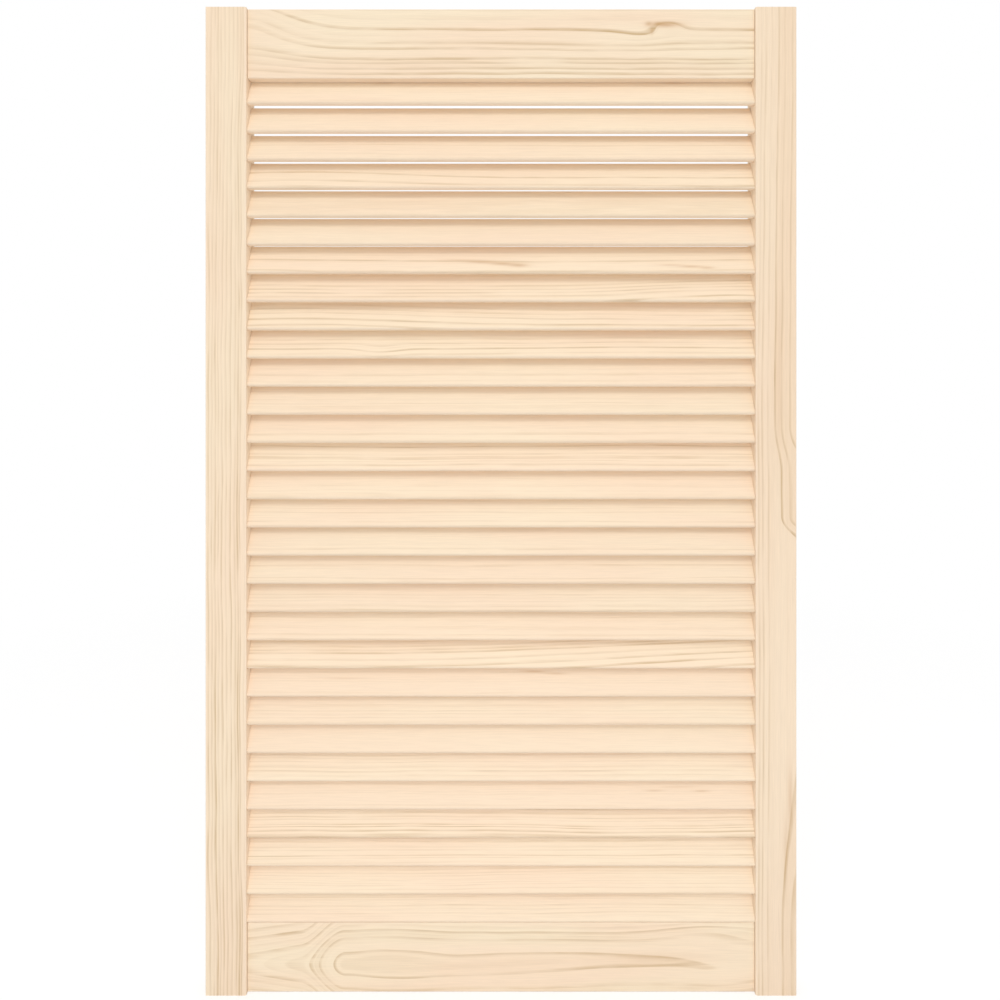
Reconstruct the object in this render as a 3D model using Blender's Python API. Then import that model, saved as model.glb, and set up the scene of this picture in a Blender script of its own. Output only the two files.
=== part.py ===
# Louvred cabinet door in planed pine
# Two stiles and two rails make the frame, and a ladder of leaning slats fills it.
# Each slat's ends sit in blind slanted housings routed into the stiles' inner edges,
# the top slat also sits in a rebate along the top rail, and two dowels hold every corner.
# Metres, +Z up. The front looks towards -Y, and the origin is at the middle of the
# bottom edge, halfway through the thickness.
import math

import bmesh
import bpy
from mathutils import Matrix, Vector

# Driving dimensions
DOOR_HEIGHT = 0.993
DOOR_WIDTH = 0.594
DOOR_THICKNESS = 0.021
STILE_WIDTH = 0.041
STILE_EDGE_RADIUS = 0.001
RAIL_HEIGHT = 0.070
RAIL_RECESS = 0.0035            # rail faces behind the stile faces, front and back
RAIL_EDGE_RADIUS = 0.001
SLAT_COUNT = 30
SLAT_THICKNESS = 0.0055
SLAT_LEAN = math.radians(24.5)  # from upright, with the lower edge to the front
SLAT_SETBACK = 0.002            # slat edges behind the stile faces, front and back
SLAT_EDGE_RADIUS = 0.0025       # both long edges are almost fully rounded
TOP_SLAT_LAP = 0.0036           # how far the top slat goes up into the top rail's rebate
HOUSING_DEPTH = 0.008           # blind slot that takes the end of a slat
DOWEL_DIAMETER = 0.006
DOWEL_LENGTH = 0.040            # half in the stile, half in the rail
DOWEL_SPACING = 0.036           # between the two dowels of one corner
DOWEL_CHAMFER = 0.001
DOWEL_FLUTE_DEPTH = 0.0003
DOWEL_FLUTES = 8
FIT_GAP = 0.0003                # clearance between pieces that touch

# Facets on round stretches
EDGE_SEGMENTS = 3
SLAT_EDGE_SEGMENTS = 6
POINTS_PER_FLUTE = 3
DOWEL_SIDES = DOWEL_FLUTES * POINTS_PER_FLUTE
DOWEL_SHARP_ANGLE = math.radians(30)

# Frame: the opening between the stiles and rails
OPENING_WIDTH = DOOR_WIDTH - 2 * STILE_WIDTH
OPENING_HEIGHT = DOOR_HEIGHT - 2 * RAIL_HEIGHT
STILE_CENTRE_X = (DOOR_WIDTH - STILE_WIDTH) / 2
RAIL_LENGTH = OPENING_WIDTH - 2 * FIT_GAP
RAIL_THICKNESS = DOOR_THICKNESS - 2 * RAIL_RECESS

# Slats: the section that fills the thickness at the lean, and the even steps between them
SLAT_DEPTH = DOOR_THICKNESS - 2 * SLAT_SETBACK
SLAT_FLAT = SLAT_THICKNESS - 2 * SLAT_EDGE_RADIUS
SLAT_CORE = (SLAT_DEPTH - 2 * SLAT_EDGE_RADIUS - SLAT_FLAT * math.cos(SLAT_LEAN)) / math.sin(SLAT_LEAN)
SLAT_WIDTH = SLAT_CORE + 2 * SLAT_EDGE_RADIUS
SLAT_RISE = SLAT_CORE * math.cos(SLAT_LEAN) + SLAT_FLAT * math.sin(SLAT_LEAN) + 2 * SLAT_EDGE_RADIUS
SLAT_LENGTH = OPENING_WIDTH + 2 * (HOUSING_DEPTH - FIT_GAP)
SLAT_PITCH = (OPENING_HEIGHT + TOP_SLAT_LAP - FIT_GAP - SLAT_RISE) / (SLAT_COUNT - 1)
LOWEST_SLAT_Z = RAIL_HEIGHT + FIT_GAP + SLAT_RISE / 2
HIGHEST_SLAT_Z = LOWEST_SLAT_Z + (SLAT_COUNT - 1) * SLAT_PITCH

# Colours of the bare wood, linear, and how dull it is
PINE_STILE = (0.91, 0.74, 0.56)
PINE_RAIL = (0.92, 0.75, 0.57)
PINE_SLAT = (0.94, 0.77, 0.58)
BEECH_DOWEL = (0.72, 0.52, 0.34)
FRAME_ROUGHNESS = 0.6
SLAT_ROUGHNESS = 0.55
DOWEL_ROUGHNESS = 0.7


def clear_scene():
    for obj in list(bpy.data.objects):
        bpy.data.objects.remove(obj, do_unlink=True)


def wood_material(name, colour, roughness):
    material = bpy.data.materials.new(name)
    material.use_nodes = True
    shader = material.node_tree.nodes["Principled BSDF"]
    shader.inputs["Base Color"].default_value = (*colour, 1.0)
    shader.inputs["Roughness"].default_value = roughness
    shader.inputs["Metallic"].default_value = 0.0
    return material


def eased_bar(size, radius, segments, along):
    # A bar of the given size, centred, whose four long edges are rounded
    bm = bmesh.new()
    bmesh.ops.create_cube(bm, size=1.0)
    bmesh.ops.scale(bm, vec=size, verts=bm.verts)
    long_edges = [edge for edge in bm.edges if lies_along(edge, along)]
    bmesh.ops.bevel(bm, geom=long_edges, offset=radius, segments=segments, profile=0.5, affect="EDGES")
    return bm


def lies_along(edge, axis):
    return edge.verts[0].co[axis] != edge.verts[1].co[axis]


def slat_bar(length, gap):
    # A slat's section, or with a gap round it the slot that takes it, at the lean
    size = Vector((length, SLAT_THICKNESS + 2 * gap, SLAT_WIDTH + 2 * gap))
    bm = eased_bar(size, SLAT_EDGE_RADIUS + gap, SLAT_EDGE_SEGMENTS, along=0)
    bmesh.ops.rotate(bm, matrix=Matrix.Rotation(-SLAT_LEAN, 3, "X"), verts=bm.verts)
    return bm


def turned_rod(rings, groove=0.0):
    # A rod along X through rings of (place, radius); groove is the share of the
    # radius that its shallow flutes take away
    bm = bmesh.new()
    last_place, last_radius = rings[0]
    quarter_turn = Matrix.Rotation(math.pi / 2, 4, "Y")
    at_start = Matrix.Translation((last_place, 0, 0)) @ quarter_turn
    bmesh.ops.create_circle(bm, segments=DOWEL_SIDES, radius=last_radius, matrix=at_start)
    fluted = list(bm.verts)[::POINTS_PER_FLUTE]
    bmesh.ops.scale(bm, vec=(1, 1 - groove, 1 - groove), verts=fluted)
    edges = bm.edges[:]
    for place, radius in rings[1:]:
        grown = bmesh.ops.extrude_edge_only(bm, edges=edges)["geom"]
        verts = [item for item in grown if isinstance(item, bmesh.types.BMVert)]
        edges = [item for item in grown if isinstance(item, bmesh.types.BMEdge)]
        swell = radius / last_radius
        bmesh.ops.translate(bm, vec=(place - last_place, 0, 0), verts=verts)
        bmesh.ops.scale(bm, vec=(1, swell, swell), verts=verts)
        last_place, last_radius = place, radius
    rims = [edge for edge in bm.edges if edge.is_boundary]
    bmesh.ops.holes_fill(bm, edges=rims)
    bmesh.ops.recalc_face_normals(bm, faces=bm.faces)
    return bm


def new_object(name, bm, material=None):
    mesh = bpy.data.meshes.new(name)
    bm.to_mesh(mesh)
    bm.free()
    obj = bpy.data.objects.new(name, mesh)
    bpy.context.collection.objects.link(obj)
    if material:
        mesh.materials.append(material)
    return obj


def merged(shapes):
    # Several placed shapes as the separate bodies of one mesh
    bm = bmesh.new()
    for shape, place in shapes:
        part = bpy.data.meshes.new("shape")
        bmesh.ops.translate(shape, vec=place, verts=shape.verts)
        shape.to_mesh(part)
        shape.free()
        bm.from_mesh(part)
        bpy.data.meshes.remove(part)
    return bm


def cut(obj, cutter_bm):
    cutter = new_object(obj.name + "_cutter", cutter_bm)
    cutter.hide_render = True
    cutter.display_type = "WIRE"
    cutter.parent = obj
    modifier = obj.modifiers.new("housings", "BOOLEAN")
    modifier.operation = "DIFFERENCE"
    modifier.solver = "EXACT"
    modifier.object = cutter


def slat_heights():
    return [LOWEST_SLAT_Z + step * SLAT_PITCH for step in range(SLAT_COUNT)]


def dowel_heights(rail_centre):
    return {"lower": rail_centre - DOWEL_SPACING / 2, "upper": rail_centre + DOWEL_SPACING / 2}


def dowel_bore(depth):
    # A round hole of the given depth to each side of the joint
    radius = DOWEL_DIAMETER / 2 + FIT_GAP
    return turned_rod([(-depth, radius), (depth, radius)])


def add_stile(name, side, rail_centres, material, door):
    # side is -1 for the left stile and +1 for the right one, seen from the front
    size = Vector((STILE_WIDTH, DOOR_THICKNESS, DOOR_HEIGHT))
    stile = new_object(name, eased_bar(size, STILE_EDGE_RADIUS, EDGE_SEGMENTS, along=2), material)
    stile.location = (side * STILE_CENTRE_X, 0, DOOR_HEIGHT / 2)
    stile.parent = door
    inner_edge = -side * STILE_WIDTH / 2
    shapes = []
    for height in slat_heights():
        housing = slat_bar(2 * HOUSING_DEPTH, FIT_GAP)
        shapes.append((housing, Vector((inner_edge, 0, height - DOOR_HEIGHT / 2))))
    for rail_centre in rail_centres:
        for height in dowel_heights(rail_centre).values():
            bore = dowel_bore(DOWEL_LENGTH / 2 + FIT_GAP)
            shapes.append((bore, Vector((inner_edge, 0, height - DOOR_HEIGHT / 2))))
    cut(stile, merged(shapes))


def add_rail(name, rail_centre, material, door):
    size = Vector((RAIL_LENGTH, RAIL_THICKNESS, RAIL_HEIGHT))
    rail = new_object(name, eased_bar(size, RAIL_EDGE_RADIUS, EDGE_SEGMENTS, along=0), material)
    rail.location = (0, 0, rail_centre)
    rail.parent = door
    shapes = []
    if rail_centre > HIGHEST_SLAT_Z:
        rebate = slat_bar(SLAT_LENGTH, FIT_GAP)
        shapes.append((rebate, Vector((0, 0, HIGHEST_SLAT_Z - rail_centre))))
    for side in (-1, 1):
        for height in dowel_heights(rail_centre).values():
            bore = dowel_bore(DOWEL_LENGTH / 2 + FIT_GAP)
            shapes.append((bore, Vector((side * OPENING_WIDTH / 2, 0, height - rail_centre))))
    cut(rail, merged(shapes))


def add_slats(material, door):
    # Numbered from the top, as they are counted on the bench
    heights = reversed(slat_heights())
    for number, height in enumerate(heights, start=1):
        slat = new_object(f"slat_{number:02d}", slat_bar(SLAT_LENGTH, 0), material)
        slat.location = (0, 0, height)
        slat.parent = door


def add_dowel(name, place, material, door):
    half = DOWEL_LENGTH / 2
    radius = DOWEL_DIAMETER / 2
    tip = radius - DOWEL_CHAMFER
    rings = [(-half, tip), (DOWEL_CHAMFER - half, radius), (half - DOWEL_CHAMFER, radius), (half, tip)]
    dowel = new_object(name, turned_rod(rings, DOWEL_FLUTE_DEPTH / radius), material)
    dowel.location = place
    dowel.parent = door
    dowel.data.shade_smooth()
    dowel.data.set_sharp_from_angle(angle=DOWEL_SHARP_ANGLE)


def build_door():
    clear_scene()
    stile_pine = wood_material("stile_pine", PINE_STILE, FRAME_ROUGHNESS)
    rail_pine = wood_material("rail_pine", PINE_RAIL, FRAME_ROUGHNESS)
    slat_pine = wood_material("slat_pine", PINE_SLAT, SLAT_ROUGHNESS)
    dowel_beech = wood_material("dowel_beech", BEECH_DOWEL, DOWEL_ROUGHNESS)
    door = bpy.data.objects.new("door", None)
    bpy.context.collection.objects.link(door)

    rails = {"bottom": RAIL_HEIGHT / 2, "top": DOOR_HEIGHT - RAIL_HEIGHT / 2}
    sides = {"left": -1, "right": 1}
    for side_name, side in sides.items():
        add_stile(f"stile_{side_name}", side, rails.values(), stile_pine, door)
    for rail_name, rail_centre in rails.items():
        add_rail(f"{rail_name}_rail", rail_centre, rail_pine, door)
    add_slats(slat_pine, door)
    for rail_name, rail_centre in rails.items():
        for side_name, side in sides.items():
            for level, height in dowel_heights(rail_centre).items():
                place = (side * OPENING_WIDTH / 2, 0, height)
                add_dowel(f"dowel_{rail_name}_{side_name}_{level}", place, dowel_beech, door)


build_door()
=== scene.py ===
import math

import bmesh
import bpy
from mathutils import Matrix, Vector


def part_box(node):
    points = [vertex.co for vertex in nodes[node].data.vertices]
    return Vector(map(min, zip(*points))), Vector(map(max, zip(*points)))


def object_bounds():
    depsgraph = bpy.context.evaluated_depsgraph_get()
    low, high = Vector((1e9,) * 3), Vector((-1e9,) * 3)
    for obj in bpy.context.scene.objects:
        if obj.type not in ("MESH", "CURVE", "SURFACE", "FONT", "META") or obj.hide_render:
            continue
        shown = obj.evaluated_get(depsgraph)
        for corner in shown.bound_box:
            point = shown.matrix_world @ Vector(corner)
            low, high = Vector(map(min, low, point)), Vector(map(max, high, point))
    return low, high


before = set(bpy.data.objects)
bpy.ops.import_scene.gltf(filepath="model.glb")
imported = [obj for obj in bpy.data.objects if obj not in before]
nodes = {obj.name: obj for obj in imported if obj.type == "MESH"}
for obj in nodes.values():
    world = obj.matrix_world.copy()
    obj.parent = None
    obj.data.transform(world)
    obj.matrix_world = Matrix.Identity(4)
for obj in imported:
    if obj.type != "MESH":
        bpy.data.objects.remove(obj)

scene = bpy.context.scene
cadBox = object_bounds()
doorLow, doorHigh = Vector(cadBox[0]), Vector(cadBox[1])
doorMiddle = (doorLow + doorHigh) / 2
mmPerMetre = 1000
print("frame loaded:", len(nodes), "pieces")


def linear(hexCode):  # sRGB hex to the linear colour that the shader wants
    channels = [int(hexCode[i:i + 2], 16) / 255 for i in (0, 2, 4)]
    return tuple(c / 12.92 if c <= 0.04045 else ((c + 0.055) / 1.055) ** 2.4 for c in channels) + (1.0,)


# in settings, a number or a socket's name is an input, anything else a property of the node
def addNode(tree, kind, settings=None, links=None):
    made = tree.nodes.new(kind)
    for key, value in (settings or {}).items():
        if isinstance(key, int) or key in made.inputs:
            made.inputs[key].default_value = value
        else:
            setattr(made, key, value)
    for key, source in (links or {}).items():
        tree.links.new(source, made.inputs[key])
    return made


# soft spot on a board: 1 in its middle, fading out over its reach along the grain and its width across
def bell(tree, place, alongMm, acrossMm, reachMm, widthMm):
    scaled = addNode(tree, "ShaderNodeMapping", {
        "Scale": (1 / reachMm, 0, 1 / widthMm),
        "Location": (-alongMm / reachMm, 0, -acrossMm / widthMm)}, {"Vector": place}).outputs[0]
    square = addNode(tree, "ShaderNodeVectorMath", {"operation": "DOT_PRODUCT"},
                     {0: scaled, 1: scaled}).outputs[1]
    fade = addNode(tree, "ShaderNodeMath", {"operation": "MULTIPLY", 1: -1.0}, {0: square}).outputs[0]
    return addNode(tree, "ShaderNodeMath", {"operation": "EXPONENT"}, {0: fade}).outputs[0]


woods = {
    # Scots pine, planed and sanded, no finish: pale cream earlywood, thin tan latewood lines, a dry low sheen
    "pine": {
        "cream": "fae7c9", "pink": "fae1c4",    # earlywood, its yellower and its pinker parts
        "late": "ccac7e",                       # latewood line
        "heart": "efd0ac",                      # darker wood inside a flame
        "stain": "be8a48",                      # resin, at a small knot or as a streak
        "end": "e6c297", "edgeHighlight": "fdeedb",     # end grain, and a painted highlight along the edges, paler like sanded wood
        "roughness": (0.56, 0.72), "ior": 1.5, "specular": 0.3},
    # beech, turned and fluted: even pinkish tan, fine short flecks
    "beech": {
        "cream": "dcb68c", "pink": "d6aa80", "late": "b98657", "heart": "cfa274", "stain": "a87646",
        "end": "c39a6d", "edgeHighlight": "e2c09a", "roughness": (0.6, 0.75), "ior": 1.5, "specular": 0.3},
}
grain = {
    # noise: mm along, through and across the grain, and its detail
    # real fibres are about 0.04 mm wide: fibre and pore are drawn far coarser than that, so that they show
    "fields": {
        "sway": ((340, 40, 60), 1.0), "ripple": ((85, 20, 25), 1.0), "fade": ((70, 6, 6), 2.0),
        "tint": ((240, 45, 38), 1.0), "fibre": ((28, 0.5, 0.5), 3.0), "pore": ((5, 0.22, 0.22), 2.0)},
    "fieldRoughness": 0.55, "fieldStep": 2.3,   # the step keeps the fields of one board apart
    "waveSwing": 4,                             # noise strays about a quarter from its middle, so 4 gives a wave
    "unevenMm": 7.6923, "yearSwing": 2.4,       # uneven years: mm of radius for one change, its push in rings
    "ringFrom": 0.30, "ringFull": 0.92,         # a fine ring darkens between these shares of it, then stops
    "faintYear": 0.12,                          # the weakest year's share of the strongest
    "lineToMm": 0.6, "linePower": 0.7,          # a growth line stops over this; a power under 1 fills it out
    "rampMarginMm": 1,                          # plain wood at both ends of the lines' ramp
    "lineFade": (0.32, 0.62, 0.25, 1.15),       # lines come and go: two noise levels and the lines' share there
    "heartEdgeMm": 2.5,                         # over which a flame's heart fades out
    "endFrom": 0.5, "endFull": 0.9, "endShare": 0.8,    # end grain, by how squarely a face cuts the fibres
    "highlightEdgeMm": 1.6, "highlightShare": 0.35,           # painted highlight along the long edges, paler like sanded wood
    "tintSpan": (0.35, 0.65), "fibreSpan": (0.3, 0.7),  # noise levels between which the change is full
    "fibreTone": (0.955, 1.035),
    "poreShare": 0.6, "bumpMm": 0.035, "bumpStrength": 0.6,     # relief: pores beside fibres, its height
}


def woodMaterial(name, board):
    material = bpy.data.materials.new(name)
    material.use_nodes = True
    tree = material.node_tree
    shader = tree.nodes["Principled BSDF"]
    wood = woods[board["wood"]]

    # board axes in mm: along the grain, through the thickness, across the face
    spot = addNode(tree, "ShaderNodeTexCoord").outputs["Object"]
    turned = addNode(tree, "ShaderNodeMapping", {
        "Scale": (mmPerMetre, mmPerMetre, mmPerMetre), "Rotation": board["turn"],
        "Location": board["centreMm"]}, {"Vector": spot}).outputs[0]
    place, pith, tone = board["layout"](tree, turned, board)
    along, through, across = addNode(tree, "ShaderNodeSeparateXYZ", {}, {0: place}).outputs
    fields = {}
    for count, (field, (sizeMm, detail)) in enumerate(grain["fields"].items()):
        shift = board["seed"] + grain["fieldStep"] * count
        stretched = addNode(tree, "ShaderNodeMapping", {
            "Scale": [1 / size for size in sizeMm], "Location": (shift, shift, shift)},
            {"Vector": place}).outputs[0]
        fields[field] = addNode(tree, "ShaderNodeTexNoise", {
            "Scale": 1.0, "Detail": detail, "Roughness": grain["fieldRoughness"]},
            {"Vector": stretched}).outputs[0]

    # waves and swirls push the growth lines across the face
    swayMm, rippleMm = board["wavesMm"]
    swing = grain["waveSwing"]
    sway = addNode(tree, "ShaderNodeMath", {
        "operation": "MULTIPLY_ADD", 1: swing * swayMm, 2: -swing / 2 * (swayMm + rippleMm)},
        {0: fields["sway"]}).outputs[0]
    push = addNode(tree, "ShaderNodeMath", {"operation": "MULTIPLY_ADD", 1: swing * rippleMm},
                   {0: fields["ripple"], 2: sway}).outputs[0]
    for alongMm, acrossMm, reachMm, widthMm, liftMm in board["swirls"]:
        swirl = bell(tree, place, alongMm, acrossMm, reachMm, widthMm)
        push = addNode(tree, "ShaderNodeMath", {"operation": "MULTIPLY_ADD", 1: -liftMm},
                       {0: swirl, 2: push}).outputs[0]
    bent = addNode(tree, "ShaderNodeMath", {"operation": "ADD"}, {0: across, 1: push}).outputs[0]
    section = addNode(tree, "ShaderNodeCombineXYZ", {}, {1: through, 2: bent}).outputs[0]

    # distance from the pith gives the rings; a flame's distance grows towards its tips
    radius = addNode(tree, "ShaderNodeVectorMath", {"operation": "DISTANCE"},
                     {0: section, 1: pith}).outputs[1]
    flame = radius
    for fromMm, toMm, growMm in board["tips"]:
        grown = addNode(tree, "ShaderNodeMapRange", {
            "interpolation_type": "SMOOTHSTEP", 1: fromMm, 2: toMm, 4: growMm}, {0: along}).outputs[0]
        flame = addNode(tree, "ShaderNodeMath", {"operation": "ADD"}, {0: flame, 1: grown}).outputs[0]

    # fine rings: uneven years, each with its own strength
    ringMm, contrast = board["rings"]
    ringed = radius if board["straightLines"] else flame
    years = addNode(tree, "ShaderNodeTexNoise", {
        "noise_dimensions": "1D", "Scale": 1 / grain["unevenMm"], "Detail": 1.0}, {"W": ringed}).outputs[0]
    uneven = addNode(tree, "ShaderNodeMath", {
        "operation": "MULTIPLY_ADD", 1: grain["yearSwing"] * ringMm}, {0: years, 2: ringed}).outputs[0]
    phase = addNode(tree, "ShaderNodeMath", {"operation": "DIVIDE", 1: ringMm}, {0: uneven}).outputs[0]
    year = addNode(tree, "ShaderNodeMath", {"operation": "FLOOR"}, {0: phase}).outputs[0]
    season = addNode(tree, "ShaderNodeMath", {"operation": "FRACT"}, {0: phase}).outputs[0]
    rise = addNode(tree, "ShaderNodeMapRange", {
        "interpolation_type": "SMOOTHERSTEP", 1: grain["ringFrom"], 2: grain["ringFull"]},
        {0: season}).outputs[0]
    fall = addNode(tree, "ShaderNodeMapRange", {1: 1.0, 2: grain["ringFull"]}, {0: season}).outputs[0]
    ring = addNode(tree, "ShaderNodeMath", {"operation": "MULTIPLY"}, {0: rise, 1: fall}).outputs[0]
    lot = addNode(tree, "ShaderNodeTexWhiteNoise", {"noise_dimensions": "1D"}, {"W": year}).outputs[0]
    force = addNode(tree, "ShaderNodeMapRange", {3: grain["faintYear"] * contrast, 4: contrast},
                    {0: lot}).outputs[0]
    late = addNode(tree, "ShaderNodeMath", {"operation": "MULTIPLY"}, {0: ring, 1: force}).outputs[0]

    # growth lines at chosen places across the face: the flame's, and straight ones beside it
    depth = board["faceMm"] - board["pithMm"][0]
    for lines, reached in ((board["lines"], flame), (board["straightLines"], radius)):
        if not lines:
            continue
        stops = []
        for distance, level in sorted((abs(acrossMm - board["pithMm"][1]), level) for acrossMm, level in lines):
            for stepMm, share in ((-board["lineFromMm"], 0.0), (0.0, level), (grain["lineToMm"], 0.0)):
                stops.append((math.hypot(depth, max(distance + stepMm, 0.0)), share))
        first, last = stops[0][0] - grain["rampMarginMm"], stops[-1][0] + grain["rampMarginMm"]
        reach = addNode(tree, "ShaderNodeMapRange", {1: first, 2: last}, {0: reached}).outputs[0]
        ramp = addNode(tree, "ShaderNodeValToRGB", {}, {0: reach})
        ramp.color_ramp.elements[1].color = (0, 0, 0, 1)
        for stop, share in stops:
            ramp.color_ramp.elements.new((stop - first) / (last - first)).color = (share, share, share, 1)
        full = addNode(tree, "ShaderNodeMath", {"operation": "POWER", 1: grain["linePower"]},
                       {0: ramp.outputs[0]}).outputs[0]
        late = addNode(tree, "ShaderNodeMath", {"operation": "MAXIMUM"}, {0: late, 1: full}).outputs[0]
    thin, strong, thinShare, strongShare = grain["lineFade"]
    coming = addNode(tree, "ShaderNodeMapRange", {1: thin, 2: strong, 3: thinShare, 4: strongShare},
                     {0: fields["fade"]}).outputs[0]
    late = addNode(tree, "ShaderNodeMath", {"operation": "MULTIPLY"}, {0: late, 1: coming}).outputs[0]
    if board["paler"]:
        paleMm, fullMm, least = board["paler"]
        strength = addNode(tree, "ShaderNodeMapRange", {1: paleMm, 2: fullMm, 3: least}, {0: along}).outputs[0]
        late = addNode(tree, "ShaderNodeMath", {"operation": "MULTIPLY"}, {0: late, 1: strength}).outputs[0]

    # colour layers over the earlywood: flame heart, latewood, resin, end grain, a painted highlight along the
    # edges
    layers = []
    if board["heart"]:
        heartMm, heartShare = board["heart"]
        edge = math.hypot(depth, heartMm - board["pithMm"][1])
        inside = addNode(tree, "ShaderNodeMapRange", {
            1: edge, 2: edge - grain["heartEdgeMm"], 4: heartShare}, {0: flame}).outputs[0]
        layers.append((inside, "heart"))
    layers.append((late, "late"))
    for alongMm, acrossMm, reachMm, widthMm, share in board["stains"]:
        stain = bell(tree, place, alongMm, acrossMm, reachMm, widthMm)
        resin = addNode(tree, "ShaderNodeMath", {"operation": "MULTIPLY", 1: share}, {0: stain}).outputs[0]
        layers.append((resin, "stain"))
    normal = addNode(tree, "ShaderNodeNewGeometry").outputs["Normal"]
    facing = addNode(tree, "ShaderNodeVectorMath", {"operation": "DOT_PRODUCT", 1: board["grainAxis"]},
                     {0: normal}).outputs[1]
    endOn = addNode(tree, "ShaderNodeMath", {"operation": "ABSOLUTE"}, {0: facing}).outputs[0]
    sawn = addNode(tree, "ShaderNodeMapRange", {
        1: grain["endFrom"], 2: grain["endFull"], 4: grain["endShare"]}, {0: endOn}).outputs[0]
    layers.append((sawn, "end"))
    # painted highlight: a paler strip along each board's long edges, standing for the light that rounded edges
    # catch
    outward = addNode(tree, "ShaderNodeMath", {"operation": "ABSOLUTE"}, {0: across}).outputs[0]
    highlightStrip = addNode(tree, "ShaderNodeMapRange", {      # twice the share, as the fibre noise averages a half
        1: board["halfMm"] - grain["highlightEdgeMm"], 2: board["halfMm"], 4: 2 * grain["highlightShare"]},
        {0: outward}).outputs[0]
    paintedHighlight = addNode(tree, "ShaderNodeMath", {"operation": "MULTIPLY"},
                   {0: highlightStrip, 1: fields["fibre"]}).outputs[0]
    layers.append((paintedHighlight, "edgeHighlight"))
    yellow, rosy = grain["tintSpan"]
    tint = addNode(tree, "ShaderNodeMapRange", {1: yellow, 2: rosy, 3: board["pinkFrom"]},
                   {0: fields["tint"]}).outputs[0]
    colour = addNode(tree, "ShaderNodeMix", {
        "data_type": "RGBA", 6: linear(wood["cream"]), 7: linear(wood["pink"])}, {0: tint}).outputs[2]
    for share, layer in layers:
        colour = addNode(tree, "ShaderNodeMix", {"data_type": "RGBA", 7: linear(wood[layer])},
                         {0: share, 6: colour}).outputs[2]
    low, high = grain["fibreSpan"]
    darkest, palest = grain["fibreTone"]
    shade = addNode(tree, "ShaderNodeMapRange", {
        1: low, 2: high, 3: darkest * board["tone"], 4: palest * board["tone"]},
        {0: fields["fibre"]}).outputs[0]
    if tone:
        shade = addNode(tree, "ShaderNodeMath", {"operation": "MULTIPLY"}, {0: shade, 1: tone}).outputs[0]
    shaded = addNode(tree, "ShaderNodeVectorMath", {"operation": "SCALE"},
                     {0: colour, "Scale": shade}).outputs[0]
    tree.links.new(shaded, shader.inputs["Base Color"])

    # dry planed surface: fibres break up the sheen, latewood stands a hair proud
    glossy, dull = wood["roughness"]
    rough = addNode(tree, "ShaderNodeMapRange", {1: low, 2: high, 3: dull, 4: glossy},
                    {0: fields["fibre"]}).outputs[0]
    tree.links.new(rough, shader.inputs["Roughness"])
    shader.inputs["IOR"].default_value = wood["ior"]
    shader.inputs["Specular IOR Level"].default_value = wood["specular"]
    relief = addNode(tree, "ShaderNodeMath", {"operation": "MULTIPLY_ADD", 1: grain["poreShare"]},
                     {0: fields["pore"], 2: fields["fibre"]}).outputs[0]
    raised = addNode(tree, "ShaderNodeMath", {"operation": "ADD"}, {0: relief, 1: late}).outputs[0]
    bump = addNode(tree, "ShaderNodeBump", {
        "Strength": grain["bumpStrength"], "Distance": grain["bumpMm"] / mmPerMetre}, {"Height": raised})
    tree.links.new(bump.outputs[0], shader.inputs["Normal"])
    return material


def oneBoard(tree, turned, board):  # a single board with its pith in one place
    through, across = board["pithMm"]
    pith = addNode(tree, "ShaderNodeCombineXYZ", {1: through, 2: across}).outputs[0]
    return turned, pith, None


# what a board has unless it says otherwise; places are mm along and across from the board's middle
# pithMm: through and across; rings: mm apart, strength; wavesMm: long and short; pinkFrom: least share of pink
# lines: across, strength, each darkening over lineFromMm; straightLines: the same, untouched by the tips
# swirls: along, across, reach, width, lift of the lines; stains: along, across, reach, width, share
# tips: along from, along to, growth of the distance from the pith; heart: across to its edge, share
# paler: along where the lines are weakest, along where they are full, weakest share
plainBoard = {
    "wood": "pine", "layout": oneBoard, "tone": 1.0, "pinkFrom": 0.0, "lineFromMm": 1.9,
    "swirls": [], "tips": [], "lines": [], "straightLines": [], "paler": None, "heart": None, "stains": []}

# stiles: straight-grained boards, grain upright; the right one has two flames along its outer edge
stileBoards = {
    "stile_left": {
        "pithMm": (55, 90), "rings": (4.3, 0.3), "wavesMm": (2.6, 1.3),
        "tone": 1.01, "pinkFrom": 0.35, "seed": 2.0, "paler": (420, -200, 0.5),
        "lines": [(15.7, 0.4), (12, 0.3), (8.4, 0.65), (5.3, 0.25), (1.7, 0.4), (-2.4, 0.3), (-6.9, 0.45),
                  (-11.4, 0.35), (-14.6, 0.7), (-16.9, 0.45)]},
    "stile_right": {
        "pithMm": (14, -25), "rings": (5.0, 0.08), "wavesMm": (1.5, 0.5),
        "tone": 0.995, "pinkFrom": 0.65, "seed": 9.0, "paler": (480, 120, 0.55),
        "swirls": [(470, -2, 120, 30, -4)], "tips": [(75, 30, 4.1), (-16, -42, 7.5), (-235, -430, -6.6)],
        "lines": [(1, 0.6), (-5.5, 0.3), (-14, 0.35)],
        "straightLines": [(8, 0.2), (13.6, 0.3), (17.5, 0.25)], "heart": (1, 0.25),
        "stains": [(-300, -14, 30, 2.2, 0.3), (-352, -9.5, 35, 2.8, 0.2), (122, -2, 90, 5, 0.12),
                   (-20, 0, 150, 60, 0.035)]},
}
for name, ownGrain in stileBoards.items():
    low, high = [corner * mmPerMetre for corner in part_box(name)]
    middle = (low + high) / 2
    board = dict(plainBoard, **ownGrain)
    board["turn"] = (0, math.pi / 2, 0)               # up the stile becomes along the grain
    board["centreMm"] = (-middle.z, -middle.y, middle.x)
    board["grainAxis"] = (0, 0, 1)
    board["faceMm"] = low.y - middle.y
    board["halfMm"] = (high.x - low.x) / 2
    nodes[name].material_slots[0].material = woodMaterial("planedPine_" + name, board)
print("stiles dressed")

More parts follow.
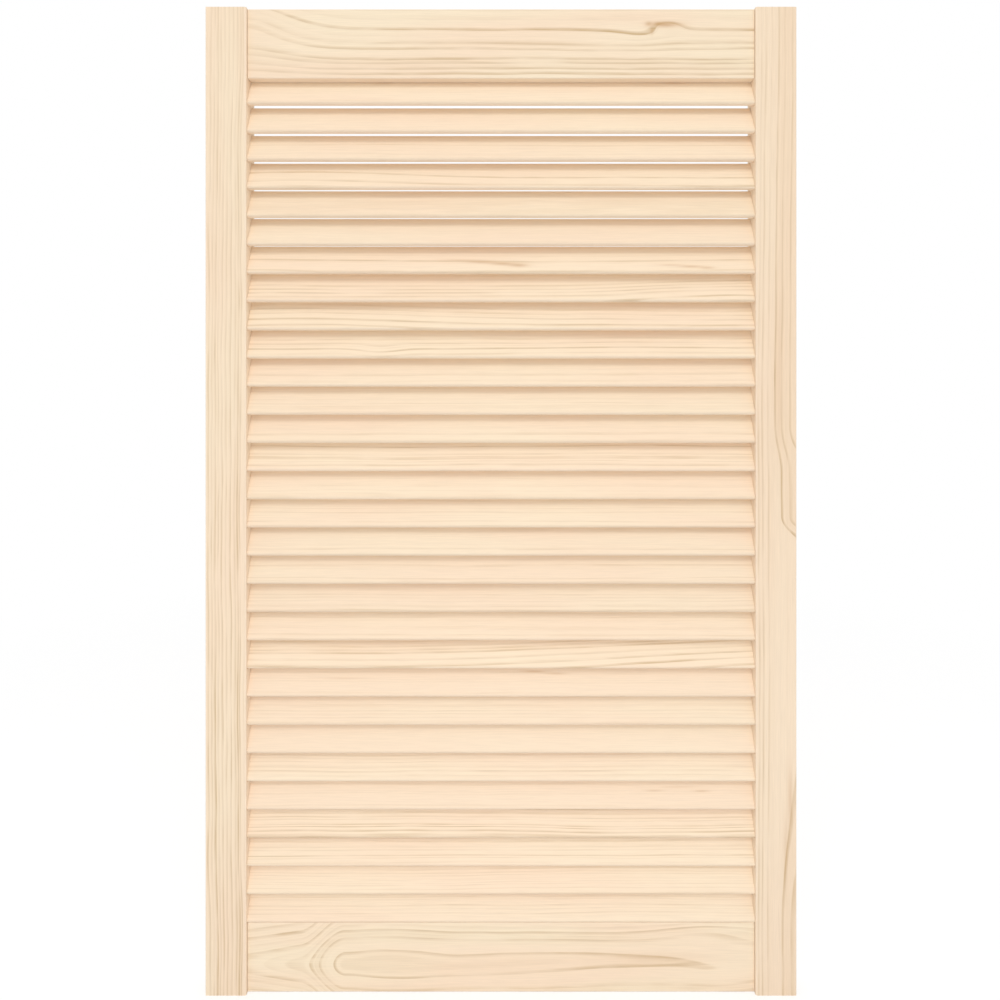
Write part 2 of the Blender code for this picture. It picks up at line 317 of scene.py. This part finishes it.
# rails: flat-sawn boards with flame figure; the top one has a small knot right of its middle
railBoards = {
    "top_rail": {
        "pithMm": (22, 46), "rings": (5.6, 0.2), "wavesMm": (1.1, 0.6),
        "tone": 1.015, "seed": 4.0, "paler": (-256, -120, 0.45), "lineFromMm": 3.0,
        "swirls": [(-262, 33, 60, 45, 25), (142, 9, 24, 10, -4), (168, 19, 18, 8, 8), (105, -2, 70, 13, -2.8)],
        "lines": [(13.5, 0.85), (0.2, 0.4), (-5.9, 0.5), (-16.3, 0.6), (-20.5, 0.4), (-26.2, 0.45),
                  (-31.5, 0.45)],
        "stains": [(152.5, 13, 2.0, 4, 0.3), (149, 20, 3.5, 2.4, 0.4), (166, 19.4, 15, 3.0, 0.6),
                   (158, 20.4, 4.5, 1.6, 0.3)]},
    "bottom_rail": {
        "pithMm": (7, -6.7), "rings": (5.4, 0.15), "wavesMm": (1.3, 0.6),
        "tone": 1.03, "seed": 6.0, "lineFromMm": 3.0,
        "swirls": [(105, -8, 85, 18, 5), (222, -10, 28, 20, -5), (-45, -8, 45, 18, -2),
                   (199, 22, 50, 14, 7), (285, 30, 100, 14, 9)],
        "tips": [(-40, -110, -2.2), (-115, -158, 1.7), (-157, -202, 24.0), (-175, -275, 9.0),
                 (20, 230, 3.6), (200, 280, 3.0)],
        "lines": [(4, 0.5), (18.7, 0.35), (22.5, 0.1), (26.3, 0.4), (31.5, 0.12), (39.8, 0.4), (45.5, 0.1),
                  (52.8, 0.65), (60, 0.2)],
        "heart": (4, 0.12), "stains": [(150, 0, 60, 6, 0.13)]},
}
for name, ownGrain in railBoards.items():
    low, high = [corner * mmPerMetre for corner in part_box(name)]
    middle = (low + high) / 2
    board = dict(plainBoard, **ownGrain)
    board["turn"] = (0, 0, 0)
    board["centreMm"] = -middle
    board["grainAxis"] = (1, 0, 0)
    board["faceMm"] = low.y - middle.y
    board["halfMm"] = (high.z - low.z) / 2
    nodes[name].material_slots[0].material = woodMaterial("planedPine_" + name, board)
print("rails dressed")

# slats: half of them plain, from one stock, each cut from another place in the log; half with their own figure
slatStock = {
    "lean": math.radians(24.5), "thickMm": 5.5,
    "pithMm": (30, 45), "rings": (3.6, 0.3), "wavesMm": (1.6, 0.5), "seed": 1.0, "pinkFrom": 0.4,
    "logStepMm": 1700.0,                        # along the log from one plain slat to the next
    "pithDepthMm": (-60, 60), "pithAcrossMm": (-75, 75), "toneRange": (0.968, 0.998),
    "figureRings": (3.6, 0.15)}                 # rings of a slat with its own figure
slatFigures = {
    "slat_01": {"stains": [(-121, 12, 9, 2, 0.35), (178, 12, 12, 2, 0.35)]},
    "slat_02": {"rings": (3.6, 0.06)},
    "slat_04": {"lines": [(-4.7, 0.5), (-15, 0.4), (-22, 0.3)], "swirls": [(-200, 0, 130, 40, 8)]},
    "slat_06": {"rings": (3.6, 0.08), "tone": 0.98},
    "slat_07": {"lines": [(-1.5, 0.42), (-14, 0.2)], "swirls": [(60, -2, 110, 14, -3)],
                "stains": [(-42, -2, 22, 1.5, 0.25), (-18, -4, 16, 1.8, 0.4), (2, -6, 13, 2.1, 0.45),
                           (18, -8, 10, 2.2, 0.45), (172, -7.5, 14, 1.4, 0.25), (192, -9.5, 12, 1.6, 0.4),
                           (208, -11, 8, 1.6, 0.35)]},
    "slat_08": {"lines": [(-8.2, 0.35), (-4, 0.3), (-12.5, 0.3), (-19.3, 0.5), (-25, 0.4), (0.5, 0.3)],
                "swirls": [(240, -8, 130, 30, 8)]},
    "slat_09": {"lines": [(-12.6, 0.5), (-6, 0.25), (-1, 0.25), (-19, 0.4), (4, 0.25)],
                "swirls": [(-190, 0, 150, 40, 9)]},
    "slat_10": {"lines": [(-7.1, 0.5), (-13, 0.2), (-1, 0.25), (4, 0.25)], "swirls": [(-123, -9, 24, 9, -4)]},
    "slat_14": {"pithMm": (12, 80), "rings": (3.9, 0.75)},
    "slat_21": {"lines": [(-3.5, 0.45), (-0.8, 0.35), (2.4, 0.3), (-9.5, 0.2), (-15, 0.45), (-20.7, 0.65),
                          (-27, 0.45), (7, 0.3)], "swirls": [(330, -5, 260, 60, 16)]},
    "slat_22": {"tone": 0.98, "pinkFrom": 0.9,
                "stains": [(34, 6.5, 12, 1.0, 0.4), (56, 4.5, 10, 1.1, 0.25), (-160, 0.3, 22, 0.9, 0.18)]},
    "slat_26": {"tone": 0.98, "pinkFrom": 0.9,
                "stains": [(156, 0, 9, 0.9, 0.25), (204, -0.5, 8, 1.0, 0.3), (180, 3, 17, 0.8, 0.18)]},
    "slat_27": {"pithMm": (12, 80), "rings": (3.0, 1.0)},
    "slat_28": {"pithMm": (12, 78), "rings": (3.5, 0.6)},
    "slat_29": {"pithMm": (12, 80), "rings": (2.6, 0.35)},
}


# a plain slat's number from its place in the ladder, then its own pith and tone from that
def slatLayout(tree, turned, board):
    xMm, yMm, zMm = addNode(tree, "ShaderNodeSeparateXYZ", {}, {0: turned}).outputs
    sine, cosine = math.sin(board["lean"]), math.cos(board["lean"])
    pitchMm, firstMm = board["pitchMm"], board["firstMm"]
    rungs = addNode(tree, "ShaderNodeMath", {
        "operation": "MULTIPLY_ADD", 1: -1 / (pitchMm * sine), 2: -firstMm / pitchMm}, {0: yMm}).outputs[0]
    number = addNode(tree, "ShaderNodeMath", {"operation": "ROUND"}, {0: rungs}).outputs[0]
    height = addNode(tree, "ShaderNodeMath", {"operation": "MULTIPLY_ADD", 1: pitchMm, 2: firstMm},
                     {0: number}).outputs[0]
    along = addNode(tree, "ShaderNodeMath", {"operation": "MULTIPLY_ADD", 1: board["logStepMm"]},
                    {0: number, 2: xMm}).outputs[0]
    through = addNode(tree, "ShaderNodeMath", {"operation": "MULTIPLY_ADD", 1: sine},
                      {0: height, 2: yMm}).outputs[0]
    across = addNode(tree, "ShaderNodeMath", {"operation": "MULTIPLY_ADD", 1: -cosine},
                     {0: height, 2: zMm}).outputs[0]
    place = addNode(tree, "ShaderNodeCombineXYZ", {}, {0: along, 1: through, 2: across}).outputs[0]
    lot = addNode(tree, "ShaderNodeTexWhiteNoise", {"noise_dimensions": "1D"}, {"W": number}).outputs[1]
    lots = addNode(tree, "ShaderNodeSeparateColor", {}, {0: lot}).outputs
    depth, side, tone = [
        addNode(tree, "ShaderNodeMapRange", {3: board[key][0], 4: board[key][1]}, {0: source}).outputs[0]
        for key, source in zip(("pithDepthMm", "pithAcrossMm", "toneRange"), lots)]
    pith = addNode(tree, "ShaderNodeCombineXYZ", {}, {1: depth, 2: side}).outputs[0]
    return place, pith, tone


slatNames = sorted(name for name in nodes if name.startswith("slat_"))
slatMiddles = [sum(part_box(name), Vector()) * (mmPerMetre / 2) for name in slatNames]
slatLow, slatHigh = [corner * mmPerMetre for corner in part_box(slatNames[0])]
upright = Matrix.Rotation(slatStock["lean"], 3, "X")  # stands a leaning slat upright
slatStock["firstMm"] = slatMiddles[-1].z
slatStock["pitchMm"] = (slatMiddles[0].z - slatMiddles[-1].z) / (len(slatNames) - 1)
slatStock["turn"] = (slatStock["lean"], 0, 0)
slatStock["centreMm"] = (0, 0, 0)
slatStock["grainAxis"] = (1, 0, 0)
slatStock["faceMm"] = -slatStock["thickMm"] / 2
slatStock["halfMm"] = (slatHigh.z - slatLow.z) / 2 / math.cos(slatStock["lean"])
slatPine = woodMaterial("planedPine_slats", dict(plainBoard, **slatStock, layout=slatLayout))
for name, middle in zip(slatNames, slatMiddles):
    dress = slatPine
    if name in slatFigures:
        board = dict(plainBoard, **slatStock)
        board["centreMm"] = -(upright @ middle)
        board["seed"] = float(name[-2:])
        board["rings"] = slatStock["figureRings"]
        board.update(slatFigures[name])
        dress = woodMaterial("planedPine_" + name, board)
    nodes[name].material_slots[0].material = dress
print("slats dressed")

# dowels: hidden in the joints; halfMm is out of reach, so that no edge gets the painted highlight
dowelStock = {
    "wood": "beech", "pithMm": (20, 8), "rings": (2.0, 0.3), "wavesMm": (0.5, 0.2), "seed": 5.0,
    "turn": (0, 0, 0), "centreMm": (0, 0, 0), "grainAxis": (1, 0, 0), "faceMm": 0, "halfMm": 3000}
dowelBeech = woodMaterial("turnedBeech_dowels", dict(plainBoard, **dowelStock))
for name in nodes:
    if name.startswith("dowel_"):
        nodes[name].material_slots[0].material = dowelBeech
print("dowels dressed")

# camera: level, square to the door, as in the photograph
shot = {
    "distance": 0.600,          # to the stiles' front faces
    "frameWidth": 1.0041,       # what the 1000 px frame spans at those faces
    "axisRow": 385,             # row that the camera's axis goes through
    "doorRow": 501.2,           # row and column of the door's middle
    "doorColumn": 501.0,
    "frameRows": 1000,
    "sensorMm": 36,
}
cameraData = bpy.data.cameras.new("camera")
cameraData.sensor_width = shot["sensorMm"]
cameraData.lens = shot["sensorMm"] * shot["distance"] / shot["frameWidth"]
cameraData.shift_y = (shot["axisRow"] - shot["frameRows"] / 2) / shot["frameRows"]
camera = bpy.data.objects.new("camera", cameraData)
scene.collection.objects.link(camera)
metrePerRow = shot["frameWidth"] / shot["frameRows"]
camera.location = (
    doorMiddle.x - (shot["doorColumn"] - shot["frameRows"] / 2) * metrePerRow,
    doorLow.y - shot["distance"],
    doorMiddle.z + (shot["doorRow"] - shot["axisRow"]) * metrePerRow)
camera.rotation_euler = (math.pi / 2, 0, 0)
scene.camera = camera
print("camera set")

# studio: even white light all round, a soft key above the camera, a weak fill low in front
studio = {
    "white": "ffffff", "worldLight": 0.82,
    "key": {"place": (0, -2.6, 3.1), "aim": (0, 0, 0.5), "size": 1.0, "power": 28.0, "colour": "ffffff"},
    "fill": {"place": (0, -1.0, 0.05), "aim": (0, 0, 0.05), "size": 0.7, "power": 3.7, "colour": "e4edff"},
    "floorSize": 12.0, "floorWhite": "cccccc",
    "floorGlow": 0.45,                          # lifts the lit paper to white where it is seen
    "fadeFrom": 0.9, "fadeTo": 1.6,             # metres from the door over which the paper turns plain white
}
for name in ("key", "fill"):
    lamp = studio[name]
    lampData = bpy.data.lights.new(name, "AREA")
    lampData.shape = "SQUARE"
    lampData.size = lamp["size"]
    lampData.energy = lamp["power"]
    lampData.color = linear(lamp["colour"])[:3]
    lampObject = bpy.data.objects.new(name, lampData)
    scene.collection.objects.link(lampObject)
    lampObject.location = lamp["place"]
    direction = Vector(lamp["aim"]) - Vector(lamp["place"])
    lampObject.rotation_euler = direction.to_track_quat("-Z", "Y").to_euler()


# 1 for the rays that should see plain white: from the camera, through glass, off gloss
def showingRays(tree):
    rays = addNode(tree, "ShaderNodeLightPath").outputs
    showing = rays["Is Camera Ray"]
    for kind in ("Is Transmission Ray", "Is Glossy Ray"):
        showing = addNode(tree, "ShaderNodeMath", {"operation": "MAXIMUM"},
                          {0: showing, 1: rays[kind]}).outputs[0]
    return showing


white = linear(studio["white"])
world = bpy.data.worlds.new("studioWhite")
scene.world = world
world.use_nodes = True
worldTree = world.node_tree
worldTree.nodes.clear()
ambient = addNode(worldTree, "ShaderNodeBackground", {"Color": white, "Strength": studio["worldLight"]})
backdrop = addNode(worldTree, "ShaderNodeBackground", {"Color": white, "Strength": 1.0})
worldMix = addNode(worldTree, "ShaderNodeMixShader", {},
                   {0: showingRays(worldTree), 1: ambient.outputs[0], 2: backdrop.outputs[0]})
addNode(worldTree, "ShaderNodeOutputWorld", {}, {0: worldMix.outputs[0]})

floorMesh = bpy.data.meshes.new("floor")
floorBuild = bmesh.new()
bmesh.ops.create_grid(floorBuild, x_segments=1, y_segments=1, size=studio["floorSize"] / 2)
bmesh.ops.translate(floorBuild, vec=(0, 0, doorLow.z), verts=floorBuild.verts)
floorBuild.to_mesh(floorMesh)
floorBuild.free()
floor = bpy.data.objects.new("floor", floorMesh)
scene.collection.objects.link(floor)
# matt white paper: no gloss, a faint soft shadow by the door, plain white further out
floorMaterial = bpy.data.materials.new("whitePaperFloor")
floorMaterial.use_nodes = True
floorTree = floorMaterial.node_tree
floorTree.nodes.clear()
floorSpot = addNode(floorTree, "ShaderNodeTexCoord").outputs["Object"]
floorAway = addNode(floorTree, "ShaderNodeVectorMath", {"operation": "LENGTH"}, {0: floorSpot}).outputs[1]
floorFade = addNode(floorTree, "ShaderNodeMapRange", {
    "interpolation_type": "SMOOTHSTEP", 1: studio["fadeFrom"], 2: studio["fadeTo"]},
    {0: floorAway}).outputs[0]
floorShowing = showingRays(floorTree)
glowLevel = addNode(floorTree, "ShaderNodeMath", {"operation": "MULTIPLY", 1: studio["floorGlow"]},
                    {0: floorShowing}).outputs[0]
fadeLevel = addNode(floorTree, "ShaderNodeMath", {"operation": "MULTIPLY"},
                    {0: floorFade, 1: floorShowing}).outputs[0]
paper = addNode(floorTree, "ShaderNodeBsdfDiffuse", {"Color": linear(studio["floorWhite"])})
glow = addNode(floorTree, "ShaderNodeEmission", {"Color": white}, {"Strength": glowLevel})
lit = addNode(floorTree, "ShaderNodeAddShader", {}, {0: paper.outputs[0], 1: glow.outputs[0]})
plain = addNode(floorTree, "ShaderNodeEmission", {"Color": white, "Strength": 1.0})
floorMix = addNode(floorTree, "ShaderNodeMixShader", {},
                   {0: fadeLevel, 1: lit.outputs[0], 2: plain.outputs[0]})
addNode(floorTree, "ShaderNodeOutputMaterial", {}, {0: floorMix.outputs[0]})
floorMesh.materials.append(floorMaterial)
print("studio set")

scene.view_settings.view_transform = "Standard"
